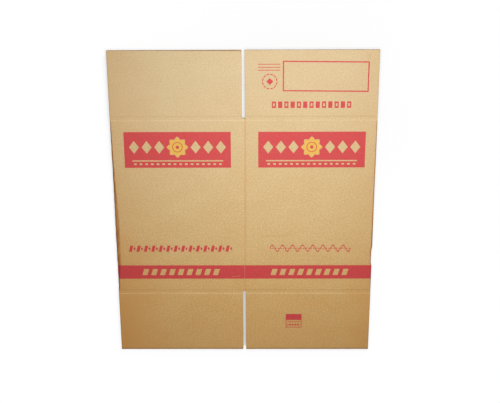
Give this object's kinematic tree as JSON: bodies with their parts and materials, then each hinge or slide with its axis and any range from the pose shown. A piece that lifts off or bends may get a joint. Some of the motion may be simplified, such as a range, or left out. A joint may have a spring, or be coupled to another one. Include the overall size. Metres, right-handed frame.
{
  "type": "dish pack box",
  "caption": "Square double-wall corrugated carton for packing china, knocked down flat, with hinged top and bottom flaps, crushed creases and a red printed band.",
  "frame": {"origin": "under the middle of the flat pack, on the surface that it lies on", "axes": "+X across the two front walls to the right, +Y up the carton's height towards the top flaps, +Z out of the front face"},
  "size_m": [0.862, 1.027, 0.018],
  "materials": {
    "kraft_board": "matt brown kraft liner, faint washboard lines",
    "red_ink": "matt red flexographic ink",
    "gold_ink": "matt gold flexographic ink"
  },
  "bodies": {
    "sleeve": {"sleeve": "kraft_board", "print_band": "red_ink", "print_field_left": "red_ink", "print_field_right": "red_ink", "print_rosette_left": "gold_ink", "print_rosette_right": "gold_ink"},
    "front_top_left": {"front_top_flap_left": "kraft_board"},
    "front_top_right": {"front_top_flap_right": "kraft_board", "print_frame": "red_ink"},
    "front_bottom_left": {"front_bottom_flap_left": "kraft_board"},
    "front_bottom_right": {"front_bottom_flap_right": "kraft_board", "print_mark": "red_ink"},
    "back_top_left": {"back_top_flap_left": "kraft_board"},
    "back_top_right": {"back_top_flap_right": "kraft_board"},
    "back_bottom_left": {"back_bottom_flap_left": "kraft_board"},
    "back_bottom_right": {"back_bottom_flap_right": "kraft_board"}
  },
  "joints": [
    {"name": "front_top_left_crease", "type": "hinge", "parent": "sleeve", "child": "front_top_left", "pos_m": [-0.2174, 0.298, 0.0186], "axis": [1, 0, 0], "range_deg": [0, 180]},
    {"name": "front_top_right_crease", "type": "hinge", "parent": "sleeve", "child": "front_top_right", "pos_m": [0.2174, 0.298, 0.0186], "axis": [1, 0, 0], "range_deg": [0, 180]},
    {"name": "front_bottom_left_crease", "type": "hinge", "parent": "sleeve", "child": "front_bottom_left", "pos_m": [-0.2174, -0.298, 0.0186], "axis": [-1, 0, 0], "range_deg": [0, 180]},
    {"name": "front_bottom_right_crease", "type": "hinge", "parent": "sleeve", "child": "front_bottom_right", "pos_m": [0.2174, -0.298, 0.0186], "axis": [-1, 0, 0], "range_deg": [0, 180]},
    {"name": "back_top_left_crease", "type": "hinge", "parent": "sleeve", "child": "back_top_left", "pos_m": [-0.2174, 0.298, -0.0006], "axis": [-1, 0, 0], "range_deg": [0, 180]},
    {"name": "back_top_right_crease", "type": "hinge", "parent": "sleeve", "child": "back_top_right", "pos_m": [0.2174, 0.298, -0.0006], "axis": [-1, 0, 0], "range_deg": [0, 180]},
    {"name": "back_bottom_left_crease", "type": "hinge", "parent": "sleeve", "child": "back_bottom_left", "pos_m": [-0.2174, -0.298, -0.0006], "axis": [1, 0, 0], "range_deg": [0, 180]},
    {"name": "back_bottom_right_crease", "type": "hinge", "parent": "sleeve", "child": "back_bottom_right", "pos_m": [0.2174, -0.298, -0.0006], "axis": [1, 0, 0], "range_deg": [0, 180]}
  ]
}
